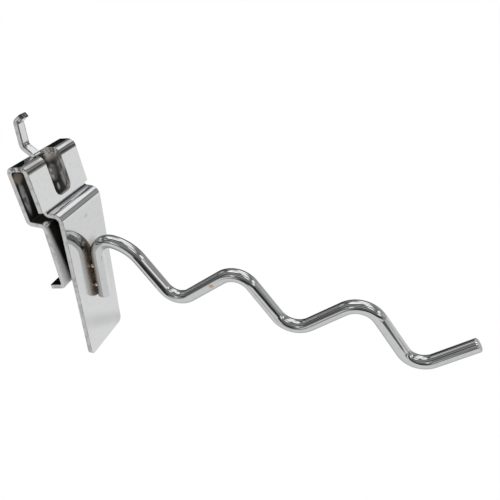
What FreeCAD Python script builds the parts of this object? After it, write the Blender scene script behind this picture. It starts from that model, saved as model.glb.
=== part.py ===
import FreeCAD, Part
import math
import os

# Pegboard hook: a folded sheet bracket that stands against a board, and a waved wire arm welded to its plate.
# Frame: millimetres, +X to the right seen from the front, +Y back to the board, +Z up.
# Origin: on the board's face, in the middle of the bracket's width, level with the bracket's flat top.
# Side outlines are given as (out, up) pairs, where out is the distance in front of the board.

# Sheet
sheet = 1.8
sheet_edge_round = 0.25

# Box of the bracket
box_width = 30.0
box_depth = 8.2
box_top_radius = 2.7
box_top_slope = 4.0
wall_drop = 18.0
wall_end_drop = 17.1

# Rear leaf and foot
rear_corner_drop = 21.6
rear_corner_radius = 2.4
rear_step_slope = 13.0
leaf_out = 5.9
leaf_slope = 3.4
leaf_corner_radius = 0.8
foot_drop = 47.0
foot_corner_radius = 0.4

# Front plate
plate_top_width = 26.0
plate_end_width = 24.4
flange_slope = 12.0
crease_radius = 0.6
plate_bend_radius = 3.6
plate_bend_out = 13.6
plate_slope = 8.9
plate_drop = 79.4
plate_corner_radius = 2.2

# Slot in the front wall and top
slot_width = 9.5
slot_start = 2.4
slot_drop = 15.8
slot_corner_radius = 3.0
slot_root_radius = 1.3

# Peg cut from the slot and folded back
peg_width = 3.8
peg_root_out = 2.0
peg_root_up = -1.45
peg_heel_angle = 47.0
peg_heel_back = 1.65
peg_heel_radius = 2.0
peg_lean = 7.5
peg_neck_up = 11.25
peg_neck_radius = 1.6
peg_tip_slope = 28.5
peg_tip_length = 3.4
peg_edge_round = 0.3

# Wire arm
wire_radius = 2.5
wire_flat = 0.05
leg_end_drop = 59.2
end_chamfer = 0.4

# Straight runs of the arm between its bends
leg_straight = 18.1
shoulder_straight = 0.4
first_fall_straight = 14.1
first_rise_straight = 15.7
second_fall_straight = 14.7
second_rise_straight = 14.2
third_fall_straight = 15.2
end_straight = 16.2

# Slope of each run after the leg, downhill negative
shoulder_slope = -20.0
first_fall_slope = -62.3
first_rise_slope = 27.4
second_fall_slope = -61.7
second_rise_slope = 26.9
third_fall_slope = -64.4
end_slope = 26.3

# Bend radii along the arm, at the middle of the wire
leg_bend_radius = 6.2
shoulder_radius = 16.0
first_valley_radius = 7.2
first_crest_radius = 8.2
second_valley_radius = 8.7
second_crest_radius = 8.9
third_valley_radius = 7.6

# Weld beads in the crease between the wire's leg and the plate
bead_radius = 0.8
bead_lift = 0.75
bead_across = 1.8
upper_bead_drop = 45.0
lower_bead_drop = 53.2


def point(out, up, across=0.0):
    return FreeCAD.Vector(across, -out, up)


def along(start, length, slope):
    angle = math.radians(slope)
    return (start[0] + length * math.cos(angle), start[1] + length * math.sin(angle))


def crossing(a, slope_a, b, slope_b):
    # The point where the line through a at slope_a meets the line through b at slope_b.
    ax, ay = math.cos(math.radians(slope_a)), math.sin(math.radians(slope_a))
    bx, by = math.cos(math.radians(slope_b)), math.sin(math.radians(slope_b))
    reach = ((b[0] - a[0]) * by - (b[1] - a[1]) * bx) / (ax * by - ay * bx)
    return (a[0] + reach * ax, a[1] + reach * ay)


def rounded(corners, radii, shift):
    # Lines and arcs along a path with rounded corners, moved sideways by shift to its left.
    # Each radius is the path's own, so a shifted side bends round the same centre.
    edges = []
    cursor = None
    for i in range(len(corners) - 1):
        a, b = corners[i], corners[i + 1]
        length = math.hypot(b[0] - a[0], b[1] - a[1])
        ux, uy = (b[0] - a[0]) / length, (b[1] - a[1]) / length
        nx, ny = -uy, ux
        start = (a[0] + shift * nx, a[1] + shift * ny) if cursor is None else cursor
        if i == len(corners) - 2:
            end = (b[0] + shift * nx, b[1] + shift * ny)
            edges.append(Part.makeLine(point(*start), point(*end)))
            break
        c = corners[i + 1 + 1]
        after = math.hypot(c[0] - b[0], c[1] - b[1])
        vx, vy = (c[0] - b[0]) / after, (c[1] - b[1]) / after
        turn = math.atan2(ux * vy - uy * vx, ux * vx + uy * vy)
        side = 1.0 if turn > 0 else -1.0
        setback = radii[i] * math.tan(abs(turn) / 2)
        centre = (b[0] - ux * setback + nx * side * radii[i], b[1] - uy * setback + ny * side * radii[i])
        reach = side * shift - radii[i]
        first = (centre[0] + side * nx * reach, centre[1] + side * ny * reach)
        last = (centre[0] - side * vy * reach, centre[1] + side * vx * reach)
        mx, my = nx - vy, ny + vx
        span = math.hypot(mx, my)
        middle = (centre[0] + side * reach * mx / span, centre[1] + side * reach * my / span)
        edges.append(Part.makeLine(point(*start), point(*first)))
        edges.append(Part.Arc(point(*first), point(*middle), point(*last)).toShape())
        cursor = last
    return edges


def strip(corners, radii, thickness, width):
    # A bent sheet of even thickness: its side outline pushed across the width.
    left = Part.Wire(rounded(corners, radii, thickness / 2))
    right = Part.Wire(rounded(corners, radii, -thickness / 2))
    ends = []
    for k in (0, -1):
        ends.append(Part.makeLine(left.OrderedVertexes[k].Point, right.OrderedVertexes[k].Point))
    outline = Part.Wire(Part.__sortEdges__(left.Edges + right.Edges + ends))
    face = Part.Face(outline)
    face.translate(FreeCAD.Vector(-width / 2, 0, 0))
    return face.extrude(FreeCAD.Vector(width, 0, 0))


def slab(across, out, up):
    # A box between three pairs of limits.
    corner = point(out[1], up[0], across[0])
    return Part.makeBox(across[1] - across[0], out[1] - out[0], up[1] - up[0], corner)


def edges_where(shape, test):
    return [edge for edge in shape.Edges if test(edge)]


def runs_through(edge, reach):
    # True for a straight edge that crosses the sheet's thickness, or one no longer than reach.
    return edge.Curve.TypeId == "Part::GeomLine" and edge.Length < reach


# Middle lines of the sheet
half = sheet / 2
front_line = box_depth - half
top_line = -half
top_fold = box_top_radius - half
crease = (box_depth, -wall_drop)
flange_middle = along(crease, half, -flange_slope - 90)
plate_front = crossing(crease, -flange_slope, (plate_bend_out, 0), -90)
plate_middle = along(plate_front, -half, -plate_slope)
plate_fall_slope = -plate_slope - 90
wall_foot = crossing((front_line, 0), -90, flange_middle, -flange_slope)
plate_top = crossing(flange_middle, -flange_slope, plate_middle, plate_fall_slope)
plate_end = crossing(plate_middle, plate_fall_slope, (0, -plate_drop), 0)

rear_step = along((half, -rear_corner_drop), half, 90 - rear_step_slope)
rear_foot = crossing((half, 0), -90, rear_step, -rear_step_slope)
leaf_top = crossing(rear_step, -rear_step_slope, (leaf_out + half, -rear_corner_drop), -90 - leaf_slope)
foot_line = -foot_drop + half
leaf_foot = crossing(leaf_top, -90 - leaf_slope, (0, foot_line), 0)

# Bracket: folded box, rear leaf and foot at full width
split = (front_line, -wall_end_drop)
top_rear = (half, top_line)
top_front = crossing(top_rear, -box_top_slope, (front_line, 0), -90)
body = strip(
    [(0, foot_line), leaf_foot, leaf_top, rear_foot, top_rear, top_front, split],
    [foot_corner_radius + half, leaf_corner_radius + half, rear_corner_radius - half, top_fold, top_fold],
    sheet, box_width)
body = body.makeFillet(sheet_edge_round, edges_where(
    body, lambda edge: edge.BoundBox.XLength < sheet_edge_round and not runs_through(edge, sheet * 1.01)))

# Bracket: narrower front plate, stepped out from the front wall, its sides drawn in a little downwards
plate = strip(
    [split, wall_foot, plate_top, plate_end],
    [crease_radius + half, plate_bend_radius - half],
    sheet, plate_top_width)
side_reach = plate_drop - wall_end_drop + sheet
side_draw = (plate_top_width - plate_end_width) / 2 / (plate_drop - wall_end_drop)
outline = [
    (-plate_top_width / 2, -wall_end_drop), (plate_top_width / 2, -wall_end_drop),
    (plate_top_width / 2 - side_draw * side_reach, -wall_end_drop - side_reach),
    (side_draw * side_reach - plate_top_width / 2, -wall_end_drop - side_reach)]
front_view = Part.Face(Part.makePolygon([point(0, up, across) for across, up in outline + outline[:1]]))
plate = plate.common(front_view.extrude(point(plate_bend_out + sheet, 0)))
plate = plate.makeFillet(plate_corner_radius, edges_where(
    plate, lambda edge: runs_through(edge, sheet * 1.1) and edge.CenterOfMass.z < -plate_drop + sheet))
plate = plate.makeFillet(sheet_edge_round, edges_where(
    plate, lambda edge: abs(edge.CenterOfMass.x) > plate_end_width / 4
    and edge.BoundBox.ZMin < -wall_end_drop - sheet_edge_round and not runs_through(edge, sheet * 1.01)
    or edge.CenterOfMass.z < -plate_drop + sheet_edge_round * 2))

# Slot: through the front wall and forward through the top, with a rounded end beside each root of the peg
slot_half = slot_width / 2
wall_cut = slab((-slot_half, slot_half), (box_depth - sheet * 2, box_depth + sheet), (-slot_drop, sheet))
wall_cut = wall_cut.makeFillet(slot_corner_radius, edges_where(
    wall_cut, lambda edge: edge.BoundBox.YLength > sheet and edge.BoundBox.ZMax < -slot_drop + sheet))
top_cut = slab((-slot_half, slot_half), (slot_start, box_depth + sheet), (-box_top_radius - sheet, sheet))
top_cut = top_cut.makeFillet(slot_root_radius, edges_where(
    top_cut, lambda edge: edge.BoundBox.ZLength > sheet and edge.BoundBox.YMin > -slot_start - sheet / 2))
body = body.cut(wall_cut).cut(top_cut)

# Peg: the strip from the slot, folded back over the top and up behind the board
peg_root = (peg_root_out, peg_root_up)
peg_heel = crossing(peg_root, 180 - peg_heel_angle, (-peg_heel_back, 0), 90)
peg_neck = crossing(peg_heel, 90 - peg_lean, (0, peg_neck_up), 0)
peg_end = along(peg_neck, peg_tip_length, peg_tip_slope)
peg = strip([peg_root, peg_heel, peg_neck, peg_end], [peg_heel_radius, peg_neck_radius], sheet, peg_width)
peg = peg.makeFillet(peg_edge_round, edges_where(
    peg, lambda edge: edge.BoundBox.XLength < sheet / 4 and edge.Length > sheet * 1.1))

bracket = body.fuse([plate, peg]).removeSplitter()
bracket = bracket.Solids[0]

# Wire arm: an upright leg on the plate, a bend over, and three valleys for what hangs on it
leg_stand = wire_radius - wire_flat
leg_line = along(plate_front, leg_stand, -plate_slope)
leg_end = crossing(leg_line, plate_fall_slope, (0, -leg_end_drop), 0)
leg_slope = 90 - plate_slope
arm = [
    (leg_bend_radius, shoulder_slope, shoulder_straight),
    (shoulder_radius, first_fall_slope, first_fall_straight),
    (first_valley_radius, first_rise_slope, first_rise_straight),
    (first_crest_radius, second_fall_slope, second_fall_straight),
    (second_valley_radius, second_rise_slope, second_rise_straight),
    (second_crest_radius, third_fall_slope, third_fall_straight),
    (third_valley_radius, end_slope, end_straight)]
corners = [leg_end]
slope, straight, setback = leg_slope, leg_straight, 0.0
for radius, slope_after, straight_after in arm:
    setback_after = radius * math.tan(math.radians(abs(slope_after - slope) / 2))
    corners.append(along(corners[-1], setback + straight + setback_after, slope))
    slope, straight, setback = slope_after, straight_after, setback_after
corners.append(along(corners[-1], setback + straight, slope))
spine = Part.Wire(rounded(corners, [bend[0] for bend in arm], 0.0))
section = Part.Wire(Part.makeCircle(wire_radius, point(*leg_end), point(*corners[1]) - point(*leg_end)))
wire = spine.makePipeShell([section], True, False)
wire = wire.makeChamfer(end_chamfer, edges_where(
    wire, lambda edge: abs(edge.Length - 2 * math.pi * wire_radius) < 0.01
    and min((edge.CenterOfMass - point(*corners[0])).Length, (edge.CenterOfMass - point(*corners[-1])).Length) < 0.01))

# The leg's flat, where it was pressed onto the plate
behind_plate = along(plate_front, -wire_radius, -plate_slope)
flat_outline = [
    along(plate_front, -plate_drop, plate_fall_slope), along(plate_front, plate_drop, plate_fall_slope),
    along(behind_plate, plate_drop, plate_fall_slope), along(behind_plate, -plate_drop, plate_fall_slope)]
flat_block = Part.Face(Part.makePolygon([point(*corner, -wire_radius) for corner in flat_outline + flat_outline[:1]]))
flat_block = flat_block.extrude(FreeCAD.Vector(wire_radius * 2, 0, 0))
wave_rod = wire.cut(flat_block).Solids[0]

# Weld beads, in the crease on each side of the leg
beads = []
for drop in (upper_bead_drop, lower_bead_drop):
    seat = along(crossing(plate_front, plate_fall_slope, (0, -drop), 0), bead_lift, -plate_slope)
    for side in (-1, 1):
        bead = Part.makeSphere(bead_radius, point(*seat, side * bead_across))
        beads.append(bead.cut(wave_rod).cut(flat_block).Solids[0])
weld_beads = Part.makeCompound(beads)

os.makedirs("parts", exist_ok=True)
for name, shape in (("bracket", bracket), ("wave_rod", wave_rod), ("weld_beads", weld_beads)):
    shape.exportStep("parts/" + name + ".step")
    print(name, shape.isValid(), len(shape.Solids), round(shape.Volume, 2), shape.BoundBox)
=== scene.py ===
import math

import bpy
from mathutils import Matrix, Vector

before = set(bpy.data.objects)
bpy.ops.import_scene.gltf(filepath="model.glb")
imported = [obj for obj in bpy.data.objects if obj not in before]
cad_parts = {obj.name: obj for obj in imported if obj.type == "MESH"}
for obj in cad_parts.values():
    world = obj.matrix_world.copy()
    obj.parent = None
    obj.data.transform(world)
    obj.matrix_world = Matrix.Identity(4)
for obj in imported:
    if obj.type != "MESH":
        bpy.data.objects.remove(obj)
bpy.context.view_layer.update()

# Places on the object are in millimetres: right of its middle, out from the board, and up from the bracket's
# top. The frame is in metres.
MM = 1000.0
RIGHT = (MM, 0.0, 0.0)
OUT = (0.0, -MM, 0.0)
UP = (0.0, 0.0, MM)


def rgb(red, green, blue):
    return (red, green, blue, 1.0)


def grey(value):
    return rgb(value, value, value)


class Tree:
    """A short way to write a node tree."""

    ONE_INPUT = ("ABSOLUTE", "SQRT", "SINE", "ARCSINE")

    def __init__(self, owner):
        owner.use_nodes = True
        self.tree = owner.node_tree
        self.tree.nodes.clear()

    def add(self, kind, props=None, **inputs):
        node = self.tree.nodes.new(kind)
        for key, value in (props or {}).items():
            setattr(node, key, value)
        for key, value in inputs.items():
            self.put(node, key.replace("_", " "), value)
        return node

    def put(self, node, key, value):
        """Link or set an input, named by its words or by its number."""
        socket = node.inputs[int(key)] if key.isdigit() else node.inputs[key]
        if isinstance(value, bpy.types.NodeSocket):
            self.tree.links.new(value, socket)
        else:
            socket.default_value = value

    def compute(self, operation, a, b=0.0):
        node = self.add("ShaderNodeMath", {"operation": operation}, **{"0": a})
        if operation not in self.ONE_INPUT:
            self.put(node, "1", b)
        return node.outputs[0]

    def both(self, *masks):
        result = masks[0]
        for mask in masks[1:]:
            result = self.compute("MULTIPLY", result, mask)
        return result

    def either(self, *masks):
        result = masks[0]
        for mask in masks[1:]:
            result = self.compute("MAXIMUM", result, mask)
        return result

    def without(self, mask):
        return self.compute("SUBTRACT", 1.0, mask)

    def size(self, value):
        """The value without its sign."""
        return self.compute("ABSOLUTE", value)

    def smooth(self, value, low, high, out_low, out_high):
        """out_low below low, out_high above high, and a soft turn between."""
        node = self.add("ShaderNodeMapRange", {"interpolation_type": "SMOOTHSTEP"}, Value=value)
        for name, limit in (("From Min", low), ("From Max", high), ("To Min", out_low), ("To Max", out_high)):
            self.put(node, name, limit)
        return node.outputs["Result"]

    def above(self, value, low, high, most=1.0):
        """0 below low, and most above high."""
        return self.smooth(value, low, high, 0.0, most)

    def below(self, value, low, high):
        """1 below low, and 0 above high."""
        return self.smooth(value, low, high, 1.0, 0.0)

    def band(self, value, start, first, last, end):
        """0 up to start, 1 from first to last, and 0 from end on."""
        return self.both(self.above(value, start, first), self.below(value, last, end))

    def blend(self, factor, a, b):
        """a where factor is 0 and b where it is 1, for plain values."""
        return self.add("ShaderNodeMix", **{"0": factor, "2": a, "3": b}).outputs[0]

    def mix(self, factor, a, b):
        """The same for colours."""
        return self.add("ShaderNodeMix", {"data_type": "RGBA"}, **{"0": factor, "6": a, "7": b}).outputs[2]

    def layers(self, colour, *marks):
        """Lay marks over a colour, each as its mask and its own colour."""
        for mask, mark in marks:
            colour = self.mix(mask, colour, mark)
        return colour

    def vector(self, operation, a, b=(0.0, 0.0, 0.0)):
        return self.add("ShaderNodeVectorMath", {"operation": operation}, **{"0": a, "1": b})

    def dot(self, vector, other):
        return self.vector("DOT_PRODUCT", vector, other).outputs["Value"]

    def place(self):
        """The point on the object, in metres."""
        return self.add("ShaderNodeTexCoord").outputs["Object"]

    def past(self, point, line):
        """Millimetres beyond a line in the side view, to the left of its direction."""
        out, up, slope = line
        run, rise = math.cos(math.radians(slope)), math.sin(math.radians(slope))
        return self.compute("ADD", self.dot(point, (0.0, MM * rise, MM * run)), out * rise - up * run)

    def spot(self, point, centre, size, soft):
        """1 inside an egg round centre (right, out, up) with half sizes (right, out, up), and 0 outside."""
        right, out, up = centre
        shift = self.vector("SUBTRACT", point, (right / MM, -out / MM, up / MM)).outputs[0]
        scaled = self.vector("MULTIPLY", shift, tuple(MM / half for half in size)).outputs[0]
        reach = self.vector("LENGTH", scaled).outputs["Value"]
        return self.below(reach, 1.0 - soft / 2, 1.0 + soft / 2)

    def noise(self, point, scale, detail=3.0):
        return self.add("ShaderNodeTexNoise", Vector=point, Scale=scale, Detail=detail).outputs["Fac"]

    def streaks(self, point, scale):
        """Noise with its own scale along each axis."""
        return self.noise(self.vector("MULTIPLY", point, scale).outputs[0], 1.0)

    def finish(self, colour, metallic, roughness, rim=grey(1.0), normal=None):
        inputs = {"Base_Color": colour, "Metallic": metallic, "Roughness": roughness, "Specular_Tint": rim}
        if normal is not None:
            inputs["Normal"] = normal
        shader = self.add("ShaderNodeBsdfPrincipled", **inputs)
        self.add("ShaderNodeOutputMaterial", Surface=shader.outputs[0])


def dress(node, mat):
    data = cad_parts[node].data
    data.materials.clear()
    data.materials.append(mat)


# In the values below, two numbers are a border: where a mask starts to turn, and where it ends. A third
# one is the mask's most. Four numbers are a band (start, first, last, end), or a border and then the values
# before and after it. A spot is its middle (right, out, up), its half sizes and the softness of its border.
# A scale belongs to a noise pattern, and a share is how much of a colour is laid on.

# Lines of the sheet in the side view: a point (out, up) on each, and its slope in degrees
STEP_LINE = (1.1, -20.72, -13.0)
LEAF_LINE = (6.8, -21.6, -93.4)
FLANGE_LINE = (8.2, -18.92, -12.0)
PLATE_LINE = (12.69, -19.148, -98.9)
PLATE_FACE = (13.6, -19.148, -98.9)

# Borders on the sheet, in millimetres
IN_FRONT = (0.2, 0.5)
BEHIND = (-0.5, -0.2)
STEP_START = (1.1, 1.4)
FRONT_WALL = (6.7, 7.0)
ROOF = (-1.5, -1.2)
FOOT = (-46.6, -45.6)
FOOT_TOP_UP = (-44.9, -44.5)
FOOT_TOP_OUT = (5.0, 6.0)
PLATE_FRONT = (0.0, 0.5)
PEG_UP = (0.15, 0.4)
PEG_BACK = (-0.4, -0.1)
PEG_SIDE = (1.3, 1.6)
BEND_UP = (-3.4, -2.8)
BEND_OUT = (4.6, 5.4)
FLANGE_UP = (-19.3, -18.8, -17.9, -17.4)
FLANGE_OUT = (8.0, 8.2)
CUT_EDGE_BLOTS_UP = (-2.6, -1.6)

# Which way a face looks, by the parts of its normal
TO_SIDE = (0.75, 0.95)
ROUNDED = (0.25, 0.5, 0.8, 0.95)
TO_FRONT = (-0.75, -0.55)
UPWARDS = (0.6, 0.8)
EDGE_ON = (0.3, 0.6)

# Chrome outside, with fine speckles and wide clouds of roughness
SHEET_CHROME = rgb(0.64, 0.645, 0.645)
SHEET_SPECKLE = rgb(0.61, 0.612, 0.612)
MOTTLE_SCALE = 700.0
SPECKLES = (0.45, 0.75)
CLOUD_SCALE = 60.0
SHEET_ROUGHNESS = (0.35, 0.75, 0.08, 0.13)
LOW_ROUGHNESS = (-50.0, -38.0, 0.05, 0.0)
CUT_ROUGHNESS = 0.22

# Cut edges; painted shade on their rounded borders, along the peg's edges and on the foot's top; and painted
# dark reflections at the peg's bends
CUT_EDGE = rgb(0.67, 0.665, 0.66)
CUT_EDGE_CLOUD = rgb(0.50, 0.49, 0.49)
CUT_EDGE_SCALE = 420.0
CUT_EDGE_CLOUDS = (0.45, 0.65)
CUT_EDGE_BLOT = grey(0.10)
BLOT_SCALE = 900.0
CUT_EDGE_BLOTS = (0.48, 0.58, 0.85)
# Painted shade: dark lines on the rounded borders of the edges
ROUNDED_EDGE_SHADE = rgb(0.20, 0.19, 0.19)
ROUNDED_MOTTLE = (0.35, 0.6, 0.2, 0.75)
# Painted shade along the peg's edges and borders
PEG_EDGE_SHADE = grey(0.10)
PEG_BORDER_SHADE = grey(0.09)
PEG_BORDER_MOTTLE = (0.35, 0.5, 0.45, 1.0)
# Painted dark reflections in spots at the peg's bends
PEG_DARK_REFLECTION = rgb(0.12, 0.11, 0.12)
PEG_REFLECTION_MOTTLE = (0.42, 0.54)
PEG_REFLECTION_SOFT = 0.8
PEG_REFLECTION_SPOTS = [
    ((0.0, 0.9, 11.5), (4.0, 1.0, 1.0)),
    ((0.0, 2.6, 12.9), (4.0, 1.0, 1.0)),
    ((0.0, -0.4, 2.7), (4.0, 1.0, 0.8)),
]
# Painted shade on the foot's top, deep between the leaf and the plate
FOOT_SHADE = rgb(0.05, 0.035, 0.032)

# Plate: brown heat tint round the welds, a small smudge, and a faint band that slants across
SHEET_HEAT_TINT = rgb(0.36, 0.30, 0.235)
SHEET_HEAT_SHARE = 0.85
TINT_SIDE = (1.8, 5.8)
TINT_LOW = (-58.5, -56.0)
TINT_HIGH = (-39.0, -33.0)
CREASE_SIDE = (0.6, 2.6)
PLATE_SMUDGE = rgb(0.44, 0.45, 0.44)
SMUDGE_SHARE = 0.6
SMUDGE = ((0.9, 12.6, -25.7), (1.1, 1.5, 0.7), 0.8)
BAND_LEAN = 0.578
BAND_UP = (-76.0, -71.0, -71.0, -65.5)
BAND_CLOUDS = (0.25, 0.6, 0.6, 1.0)

# Painted dark reflections: streaks along the box's front bend and over the flange, and a line on the bend's
# lower border. Painted shade: a dark line in the crease over the flange
ACROSS = 300.0
FOLD_STREAK_SCALE = (70.0, 900.0, 900.0)
# Painted dark reflection streaks on the flange
FLANGE_REFLECTION_STREAK = rgb(0.15, 0.15, 0.19)
FLANGE_STREAKS = (0.48, 0.60, 0.85)
# Painted dark reflection streaks on the box's front bend
BEND_REFLECTION_STREAK = rgb(0.26, 0.25, 0.24)
BEND_STREAKS = (0.48, 0.62, 0.6)
# Painted dark reflection line on the bend's lower border
BEND_REFLECTION_LINE = rgb(0.10, 0.10, 0.095)
BEND_LINE_SPOT = ((0.0, 8.2, -2.95), (ACROSS, 0.6, 0.55), 0.6)
BEND_LINE_SHARE = (-4.0, 6.0, 0.8, 0.96)
# Painted shade in the crease over the flange
CREASE_SHADE_LINE = grey(0.02)
CREASE_LINE_SPOT = ((0.0, 8.3, -17.95), (ACROSS, 0.5, 0.55), 0.4)

# Inside of the folds: painted shade, with painted light and shade on the rear wall, each as its spot and
# colour
REAR_WALL = 1.8
# Painted shade inside the folds
FOLD_PAINTED_SHADE = rgb(0.018, 0.017, 0.016)
# Painted light at the left: a brown patch at the top and a pale streak
LEFT_PAINTED_LIGHT = [
    ((-12.8, REAR_WALL, -4.6), (2.0, 3.0, 1.8), 1.0, rgb(0.50, 0.40, 0.32)),
    ((-13.0, REAR_WALL, -11.6), (1.2, 3.0, 5.4), 0.8, rgb(0.66, 0.66, 0.67)),
]
# Painted light where the slot lets light in
SLOT_LIGHT = rgb(1.0, 0.95, 0.86)
SLOT_LIGHT_UP = (-6.6, -2.8)
SLOT_LIGHT_RIGHT = (2.5, 6.0)
# Painted light and shade on the rear wall behind the slot, with a painted glint low down
SLOT_PAINTED_LIGHT_AND_SHADE = [
    ((9.6, REAR_WALL, -8.6), (1.6, 3.0, 2.6), 1.2, rgb(0.24, 0.23, 0.21)),
    ((5.4, REAR_WALL, -9.6), (2.0, 3.0, 2.4), 1.2, rgb(0.95, 0.92, 0.84)),
    ((10.4, REAR_WALL, -12.0), (1.5, 3.0, 4.6), 0.9, rgb(0.62, 0.60, 0.57)),
    ((5.7, REAR_WALL, -15.2), (0.7, 3.0, 1.2), 1.0, rgb(0.95, 0.93, 0.86)),
]
FOLD_BLOT = rgb(0.03, 0.028, 0.024)
FOLD_BLOT_SCALE = 330.0
FOLD_BLOTS = (0.46, 0.62, 0.7)
FOLD_METALLIC = 0.35
FOLD_ROUGHNESS = 0.45
CREASE_METALLIC = 0.6

# Leaf's pale left border of painted light, which leans, and a painted glint on it at the top
LEAF_BORDER_LIGHT = grey(0.62)
LEAF_BORDER_LEAN = 0.16
LEAF_BORDER_RIGHT = (-18.9, -16.9)
LEAF_GLINT = grey(1.0)
LEAF_GLINT_SPOT = ((-13.6, 7.2, -21.5), (1.5, 1.2, 0.9), 0.6)

# Slot's cut wall: streaky grey, with painted shade at the back
SLOT_WALL = rgb(0.66, 0.65, 0.63)
SLOT_WALL_SIDE = (4.9, 5.1)
SLOT_WALL_OUT = (2.5, 3.0)
SLOT_WALL_UP = (-16.4, -16.1)
BESIDE_PEG = (2.2, 2.6)
UNDER_PEG = (-4.0, -3.0)
SLOT_STREAK = rgb(0.22, 0.21, 0.20)
SLOT_STREAK_SCALE = (700.0, 1500.0, 260.0)
SLOT_STREAKS = (0.42, 0.60)
# Painted shade deep in the slot
SLOT_WALL_BACK_SHADE = rgb(0.05, 0.048, 0.045)
SLOT_BACK_OUT = (6.4, 6.9)
SLOT_BACK_UP = (-3.0, -2.2)


class SheetTree(Tree):
    """The sheet's tree, with the masks that its tones share."""

    def __init__(self, material):
        super().__init__(material)
        self.point = self.place()
        self.right, self.out, self.up = (self.dot(self.point, way) for way in (RIGHT, OUT, UP))
        self.side = self.size(self.right)
        normal = self.add("ShaderNodeNewGeometry").outputs["Normal"]
        self.normal = self.add("ShaderNodeSeparateXYZ", Vector=normal).outputs
        self.sideways = self.size(self.normal["X"])
        self.cut = self.above(self.sideways, *TO_SIDE)
        self.uncut = self.without(self.cut)
        self.cloud = self.noise(self.point, CLOUD_SCALE)
        self.mottle = self.noise(self.point, MOTTLE_SCALE)
        self.over_leaf = self.above(self.past(self.point, LEAF_LINE), *IN_FRONT)
        self.on_peg = self.either(self.above(self.up, *PEG_UP), self.below(self.out, *PEG_BACK))
        self.near_weld = self.both(
            self.plate_front(), self.below(self.side, *TINT_SIDE), self.above(self.up, *TINT_LOW),
            self.below(self.up, *TINT_HIGH))

    def plate_front(self):
        return self.above(self.past(self.point, PLATE_LINE), *PLATE_FRONT)

    def inside(self):
        """In front of the rear wall, step and leaf, and behind the front wall, flange and plate."""
        over_step = self.both(
            self.above(self.past(self.point, STEP_LINE), *IN_FRONT), self.above(self.out, *STEP_START))
        behind_wall = self.below(self.out, *FRONT_WALL)
        under_flange = self.below(self.past(self.point, FLANGE_LINE), *BEHIND)
        behind_plate = self.below(self.past(self.point, PLATE_LINE), *BEHIND)
        behind_front = self.either(behind_wall, self.both(under_flange, behind_plate))
        return self.both(
            self.either(over_step, self.over_leaf), behind_front, self.below(self.up, *ROOF),
            self.above(self.up, *FOOT), self.uncut)

    def marks(self, table):
        return [(self.spot(self.point, middle, size, soft), colour) for middle, size, soft, colour in table]

    def inside_painted_light_and_shade(self):
        """Painted shade, with painted light at the left as a brown patch and a pale streak, painted light at
        the slot, and a pale border of painted light and a painted glint on the leaf.
        """
        at_slot = self.both(self.above(self.up, *SLOT_LIGHT_UP), self.above(self.right, *SLOT_LIGHT_RIGHT))
        blots = self.above(self.noise(self.point, FOLD_BLOT_SCALE, 1.0), *FOLD_BLOTS)
        # Painted light on the leaf's left border
        along_leaf = self.dot(self.point, (MM, 0.0, LEAF_BORDER_LEAN * MM))
        border = self.both(
            self.over_leaf, self.below(self.normal["Y"], *TO_FRONT),
            self.below(along_leaf, *LEAF_BORDER_RIGHT))
        # Painted shade, painted light and a painted glint, with dark blots in the dull inside
        return self.layers(
            FOLD_PAINTED_SHADE, *self.marks(LEFT_PAINTED_LIGHT), (at_slot, SLOT_LIGHT), *self.marks(SLOT_PAINTED_LIGHT_AND_SHADE),
            (blots, FOLD_BLOT), (border, LEAF_BORDER_LIGHT), (self.spot(self.point, *LEAF_GLINT_SPOT), LEAF_GLINT))

    def edge_marks_and_painted_shade(self):
        """Marks on the cut edges, painted shade on their rounded borders, the peg's edges and the foot's top,
        and painted dark reflections at the peg's bends.
        """
        clouds = self.above(self.noise(self.point, CUT_EDGE_SCALE), *CUT_EDGE_CLOUDS)
        rounded = self.band(self.sideways, *ROUNDED)
        peg_border = self.both(
            self.on_peg, self.above(self.side, *PEG_SIDE), self.uncut,
            self.smooth(self.mottle, *PEG_BORDER_MOTTLE))
        # Painted dark reflections at the peg's bends
        dark_reflections = self.either(*(self.spot(self.point, *stain, PEG_REFLECTION_SOFT) for stain in PEG_REFLECTION_SPOTS))
        foot_top = self.both(
            self.above(self.normal["Z"], *UPWARDS), self.below(self.up, *FOOT_TOP_UP),
            self.below(self.out, *FOOT_TOP_OUT))
        # The clouds on the cut edges are their own tone; the other marks are painted shade and painted dark
        # reflections
        return [
            (self.cut, self.mix(clouds, CUT_EDGE, CUT_EDGE_CLOUD)),
            (self.both(rounded, self.smooth(self.mottle, *ROUNDED_MOTTLE)), ROUNDED_EDGE_SHADE),
            (self.both(rounded, self.on_peg), PEG_EDGE_SHADE),
            (peg_border, PEG_BORDER_SHADE),
            (self.both(dark_reflections, self.above(self.mottle, *PEG_REFLECTION_MOTTLE)), PEG_DARK_REFLECTION),
            (foot_top, FOOT_SHADE),
        ]

    def plate_marks(self):
        slanting = self.band(self.dot(self.point, (BAND_LEAN * MM, 0.0, MM)), *BAND_UP)
        band = self.both(self.plate_front(), slanting, self.smooth(self.cloud, *BAND_CLOUDS))
        smudges = self.either(self.spot(self.point, *SMUDGE), band)
        return [
            (self.both(self.near_weld, SHEET_HEAT_SHARE), SHEET_HEAT_TINT),
            (self.both(smudges, SMUDGE_SHARE), PLATE_SMUDGE),
        ]

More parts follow.
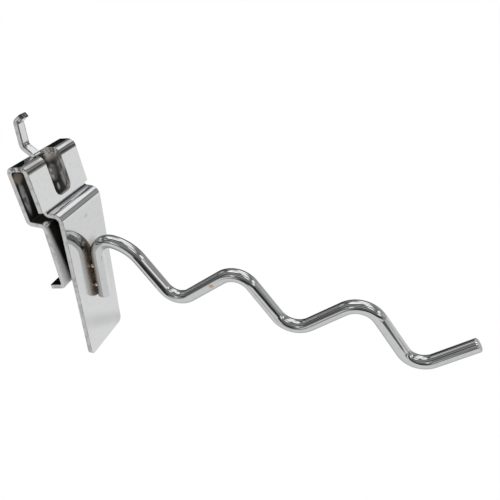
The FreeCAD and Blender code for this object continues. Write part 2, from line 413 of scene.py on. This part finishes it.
    def fold_marks_and_painted_light(self):
        """Painted dark reflection streaks and a line along the folds, painted shade in the crease, and blots
        on the cut edge at the top.
        """
        streaks = self.streaks(self.point, FOLD_STREAK_SCALE)
        on_flange = self.both(self.band(self.up, *FLANGE_UP), self.above(self.out, *FLANGE_OUT))
        on_bend = self.both(self.above(self.up, *BEND_UP), self.above(self.out, *BEND_OUT), self.uncut)
        line = self.both(
            self.spot(self.point, *BEND_LINE_SPOT), self.uncut, self.smooth(self.right, *BEND_LINE_SHARE))
        blots = self.both(
            self.cut, self.above(self.up, *CUT_EDGE_BLOTS_UP), self.without(self.on_peg),
            self.above(self.noise(self.point, BLOT_SCALE), *CUT_EDGE_BLOTS))
        # Painted reflections and painted shade, then blots on the cut edge
        return [
            (self.both(on_flange, self.above(streaks, *FLANGE_STREAKS)), FLANGE_REFLECTION_STREAK),
            (self.both(on_bend, self.above(streaks, *BEND_STREAKS)), BEND_REFLECTION_STREAK),
            (line, BEND_REFLECTION_LINE),
            (blots, CUT_EDGE_BLOT),
            (self.both(on_flange, self.spot(self.point, *CREASE_LINE_SPOT)), CREASE_SHADE_LINE),
        ]

    def slot_wall(self):
        beside_peg = self.either(self.above(self.side, *BESIDE_PEG), self.below(self.up, *UNDER_PEG))
        return self.both(
            self.below(self.size(self.normal["Y"]), *EDGE_ON), self.below(self.side, *SLOT_WALL_SIDE),
            self.above(self.out, *SLOT_WALL_OUT), self.above(self.up, *SLOT_WALL_UP), beside_peg)

    def slot_wall_tone_and_shade(self):
        streaks = self.above(self.streaks(self.point, SLOT_STREAK_SCALE), *SLOT_STREAKS)
        # Painted shade at the back of the slot wall
        back = self.both(self.below(self.out, *SLOT_BACK_OUT), self.below(self.up, *SLOT_BACK_UP))
        return self.layers(SLOT_WALL, (streaks, SLOT_STREAK), (back, SLOT_WALL_BACK_SHADE))

    def outer_roughness(self):
        """Rougher in clouds, low on the plate, and on the cut edges."""
        low = self.compute("ADD", self.smooth(self.up, *LOW_ROUGHNESS), self.both(self.cut, CUT_ROUGHNESS))
        return self.compute("ADD", self.smooth(self.cloud, *SHEET_ROUGHNESS), low)


def sheet_material():
    """Chrome with a soft mirror finish, duller on its cut edges, dull inside the folds and painted dark there
    as shade, with painted light and reflections in its colour too.
    """
    mat = bpy.data.materials.new("chrome_sheet")
    t = SheetTree(mat)
    inside, slot_wall = t.inside(), t.slot_wall()
    chrome = t.mix(t.above(t.mottle, *SPECKLES), SHEET_CHROME, SHEET_SPECKLE)
    colour = t.layers(
        chrome, *t.edge_marks_and_painted_shade(), *t.plate_marks(), *t.fold_marks_and_painted_light(), (inside, t.inside_painted_light_and_shade()),
        (slot_wall, t.slot_wall_tone_and_shade()))
    dull = t.either(inside, slot_wall)
    in_crease = t.both(t.near_weld, t.below(t.side, *CREASE_SIDE))
    metallic = t.both(t.blend(dull, 1.0, FOLD_METALLIC), t.blend(in_crease, 1.0, CREASE_METALLIC))
    t.finish(colour, metallic, t.blend(dull, t.outer_roughness(), FOLD_ROUGHNESS))
    return mat


# Wire: heat tint and painted shade by the distance off the plate and by height, and a brown spot on the first
# rise
WIRE_CHROME = rgb(0.66, 0.665, 0.67)
WIRE_SPECKLE = rgb(0.62, 0.622, 0.625)
WIRE_SPECKLE_SCALE = 500.0
# Heat tint and painted shade where the plate shades the leg
WIRE_HEAT_TINT_AND_SHADE = rgb(0.24, 0.195, 0.15)
WIRE_TINT_AND_SHADE_SHARE = 0.93
WIRE_TINT_AND_SHADE_OUT = (0.8, 3.2)
WIRE_TINT_AND_SHADE_HIGH = (-38.0, -35.0)
WIRE_TINT_AND_SHADE_LOW = (-52.0, -47.0, 0.72, 1.0)
WIRE_CREASE_OUT = (0.6, 2.0)
WIRE_CREASE_METALLIC = 0.5
BROWN_SPOT = rgb(0.50, 0.37, 0.27)
BROWN_SPOT_PLACE = ((-2.5, 56.6, -54.6), (0.9, 0.9, 0.7), 1.0)
WAVE_SCALE = 120.0
WAVE_STRENGTH = 0.25
WAVE_HEIGHT = 0.2
WIRE_ROUGHNESS = (0.35, 0.75, 0.04, 0.08)

# The rim of the bends and runs mirrors less, and the leg's rim doesn't
LEG_UP = (-41.0, -38.0)
LEG_OUT = (5.5, 7.0)
DARK_RIM = grey(0.5)
FULL_RIM = grey(1.0)


def wire_material():
    """Brighter chrome with faint waves along it, brown with heat tint and painted shade where the leg was
    welded close to the plate.
    """
    mat = bpy.data.materials.new("chrome_wire")
    t = Tree(mat)
    point = t.place()
    up = t.dot(point, UP)
    off_plate = t.past(point, PLATE_FACE)
    # Heat tint with painted shade close to the plate, lower on the leg
    burnt_and_shaded = t.both(
        t.below(off_plate, *WIRE_TINT_AND_SHADE_OUT), t.below(up, *WIRE_TINT_AND_SHADE_HIGH), t.smooth(up, *WIRE_TINT_AND_SHADE_LOW))
    speckles = t.above(t.noise(point, WIRE_SPECKLE_SCALE), *SPECKLES)
    colour = t.layers(
        t.mix(speckles, WIRE_CHROME, WIRE_SPECKLE), (t.both(burnt_and_shaded, WIRE_TINT_AND_SHADE_SHARE), WIRE_HEAT_TINT_AND_SHADE),
        (t.spot(point, *BROWN_SPOT_PLACE), BROWN_SPOT))
    in_crease = t.both(burnt_and_shaded, t.below(off_plate, *WIRE_CREASE_OUT))
    metallic = t.blend(in_crease, 1.0, WIRE_CREASE_METALLIC)
    roughness = t.smooth(t.noise(point, CLOUD_SCALE), *WIRE_ROUGHNESS)
    on_leg = t.both(t.below(up, *LEG_UP), t.below(off_plate, *LEG_OUT))
    rim = t.mix(on_leg, DARK_RIM, FULL_RIM)
    height = t.noise(point, WAVE_SCALE, 1.0)
    waves = t.add("ShaderNodeBump", Strength=WAVE_STRENGTH, Distance=WAVE_HEIGHT / MM, Height=height)
    t.finish(colour, metallic, roughness, rim, waves.outputs["Normal"])
    return mat


# Weld: pale brownish beads, less smooth than the rest
WELD_PALE = rgb(0.90, 0.78, 0.69)
WELD_BROWN = rgb(0.50, 0.38, 0.30)
WELD_BROWN_CLOUDS = (0.4, 0.65)
WELD_METALLIC = 0.7
WELD_ROUGHNESS = 0.38


def weld_material():
    mat = bpy.data.materials.new("chrome_weld")
    t = Tree(mat)
    clouds = t.above(t.noise(t.place(), BLOT_SCALE), *WELD_BROWN_CLOUDS)
    t.finish(t.mix(clouds, WELD_PALE, WELD_BROWN), WELD_METALLIC, WELD_ROUGHNESS)
    return mat


# Floor, in metres
FLOOR_SIZE = 40.0
FLOOR_HEIGHT = -0.30
FLOOR_WHITE_SHARE = 0.9


def floor_material():
    """Pale paper, white to the camera."""
    mat = bpy.data.materials.new("floor_paper")
    t = Tree(mat)
    path = t.add("ShaderNodeLightPath").outputs
    seen = t.either(path["Is Camera Ray"], path["Is Glossy Ray"], path["Is Transmission Ray"])
    paper = t.add("ShaderNodeBsdfDiffuse", Color=grey(1.0)).outputs[0]
    white = t.add("ShaderNodeEmission", Color=grey(1.0), Strength=1.0).outputs[0]
    mixed = t.add("ShaderNodeMixShader", **{"0": t.both(seen, FLOOR_WHITE_SHARE), "1": paper, "2": white})
    t.add("ShaderNodeOutputMaterial", Surface=mixed.outputs[0])
    return mat


def add_floor():
    """It keeps the object's shadow, and the chrome doesn't mirror it."""
    bpy.ops.mesh.primitive_plane_add(size=FLOOR_SIZE, location=(0.0, 0.0, FLOOR_HEIGHT))
    floor = bpy.context.object
    floor.name = "floor"
    floor.data.materials.append(floor_material())
    floor.visible_glossy = False


# What the chrome mirrors, seen from the object: a pale table below, and above it pale walls and lamps
# with dark gaps between them. Each patch: azimuth (0 in front of the board, 90 to the right), elevation,
# half width, half height, tilt, softness of the border, brightness. Angles are in degrees.
PATCHES = [
    (110, -30, 50, 20, 0, 0.9, 0.90),
    (146, -43, 16, 6, 0, 0.8, 1.12),
    (68, -18, 14, 7, 20, 0.8, 1.05),
    (30, 12, 42, 12, 0, 0.5, 0.38),
    (25, 58, 45, 14, 0, 0.5, 1.15),
    (332, 43, 22, 9, 10, 0.5, 0.8),
    (110, 79, 22, 20, 0, 0.3, 1.25),
    (108, 34, 11, 7, 0, 0.5, 0.26),
    (73, 36, 15, 6, 20, 0.5, 1.18),
    (135, 56, 12, 8, 0, 0.5, 0.10),
    (155, 27, 14, 17, 0, 0.6, 0.34),
    (168, 46, 13, 4, 0, 0.6, 0.65),
    (210, 20, 26, 20, 0, 0.4, 0.12),
    (232, 34, 14, 12, 0, 0.6, 0.22),
    (238, 7, 10, 7, 0, 0.5, 0.16),
    (257, 18, 5, 8, 0, 0.6, 1.0),
    (290, 14, 26, 16, 0, 0.6, 0.16),
    (138, 6, 12, 9, 0, 0.6, 0.08),
    (126, 14, 12, 19, -25, 0.4, 0.008),
    (314, -12, 26, 3, 18, 0.7, 0.12),
    (264, -13, 22, 5, 30, 0.4, 0.03),
    (306, -1, 24, 4.5, 8, 0.4, 0.02),
    (24, 5, 22, 4.5, -15, 0.7, 0.55),
    (332, 14, 18, 4, 6, 0.4, 1.0),
    (278, -4, 25, 7.5, 0, 0.4, 0.04),
    (355, 24, 20, 4.5, 0, 0.4, 1.25),
    (254, -29, 8, 4, 0, 0.6, 0.45),
    (52, -15, 12, 6, 0, 0.8, 1.0),
    (60, -42, 18, 8, 0, 0.9, 1.0),
    (60, -28, 8, 5, 0, 0.9, 0.93),
    (49, -4, 5, 3, 20, 0.5, 0.15),
]
SAME_HALF = (0.0, 0.05)

# Brightness where no patch lies, of the table and of the room, by elevation in degrees
HORIZON = (-9.0, 4.0, 0.82, 0.25)

# Streaks in the room: how close they lie, how they bend, their dark and bright shares, and the elevation
# where they start
STREAK_RATE = 17.0
STREAK_BEND_SCALE = 1.6
STREAK_BEND = 7.0
STREAK_SHADE = (-0.5, 0.6, 0.30, 1.65)
STREAK_RISE = (6.0, 24.0)

# No streaks round the share of right that the folds mirror, and a darker room far to the right
CALM_RIGHT = 0.79
CALM_WIDTH = (0.07, 0.12)
FAR_RIGHT = (0.89, 0.94)
FAR_RIGHT_RISE = (-2.0, 12.0)
FAR_RIGHT_SHARE = 0.25


def facing(azimuth, elevation):
    a, e = math.radians(azimuth), math.radians(elevation)
    return Vector((math.sin(a) * math.cos(e), -math.cos(a) * math.cos(e), math.sin(e)))


def patch_mask(t, ray, azimuth, elevation, width, height, tilt, soft):
    """1 where a ray meets the patch, by its distance from the middle in shares of the half sizes."""
    centre = facing(azimuth, elevation)
    east = facing(azimuth + 90, 0)
    north = centre.cross(east)
    turn = math.radians(tilt)
    along = (east * math.cos(turn) + north * math.sin(turn)) / math.sin(math.radians(width))
    across = (north * math.cos(turn) - east * math.sin(turn)) / math.sin(math.radians(height))
    x, y = t.dot(ray, along), t.dot(ray, across)
    reach = t.compute("SQRT", t.compute("ADD", t.both(x, x), t.both(y, y)))
    same_half = t.above(t.dot(ray, centre), *SAME_HALF)
    return t.both(t.below(reach, 1.0 - soft / 2, 1.0 + soft / 2), same_half)


def streak_level(t, ray, right, rise):
    bend = t.both(t.noise(ray, STREAK_BEND_SCALE, 1.0), STREAK_BEND)
    wave = t.compute("SINE", t.compute("ADD", t.both(right, STREAK_RATE), bend))
    calm = t.below(t.size(t.compute("SUBTRACT", right, CALM_RIGHT)), *CALM_WIDTH)
    shade = t.blend(calm, t.smooth(wave, *STREAK_SHADE), 1.0)
    return t.blend(t.above(rise, *STREAK_RISE), 1.0, shade)


def add_world():
    """An even white world for all light but the mirrored, which is the room of patches and streaks."""
    world = bpy.data.worlds.new("studio")
    bpy.context.scene.world = world
    t = Tree(world)
    ray = t.add("ShaderNodeTexCoord").outputs["Generated"]
    way = t.add("ShaderNodeSeparateXYZ", Vector=ray).outputs
    rise = t.both(t.compute("ARCSINE", way["Z"]), 180 / math.pi)
    level = t.smooth(rise, *HORIZON)
    for *form, bright in PATCHES:
        level = t.blend(patch_mask(t, ray, *form), level, bright)
    far_right = t.both(t.above(way["X"], *FAR_RIGHT), t.above(rise, *FAR_RIGHT_RISE))
    level = t.both(level, streak_level(t, ray, way["X"], rise), t.blend(far_right, 1.0, FAR_RIGHT_SHARE))
    mirrored = t.add("ShaderNodeLightPath").outputs["Is Glossy Ray"]
    backdrop = t.add("ShaderNodeBackground", Color=grey(1.0), Strength=t.blend(mirrored, 1.0, level))
    t.add("ShaderNodeOutputWorld", Surface=backdrop.outputs[0])


# Camera, at the photograph's place: lens and sensor in millimetres, place and clipping in metres
LENS = 41.816
SENSOR_WIDTH = 36.0
CLIP_START = 0.01
CLIP_END = 100.0
CAMERA_PLACE = (-0.16542, -0.13768, 0.04622)
CAMERA_RIGHT = (0.27099, -0.94476, -0.18436)
CAMERA_UP = (0.47973, -0.03349, 0.87678)


def add_camera():
    data = bpy.data.cameras.new("camera")
    data.lens = LENS
    data.sensor_width = SENSOR_WIDTH
    data.clip_start = CLIP_START
    data.clip_end = CLIP_END
    camera = bpy.data.objects.new("camera", data)
    bpy.context.scene.collection.objects.link(camera)
    right, up = Vector(CAMERA_RIGHT), Vector(CAMERA_UP)
    turn = Matrix((right, up, right.cross(up))).transposed().to_4x4()
    camera.matrix_world = Matrix.Translation(CAMERA_PLACE) @ turn
    bpy.context.scene.camera = camera


dress("bracket", sheet_material())
dress("wave_rod", wire_material())
dress("weld_beads", weld_material())
add_floor()
add_world()
add_camera()

bpy.context.scene.view_settings.view_transform = "Standard"
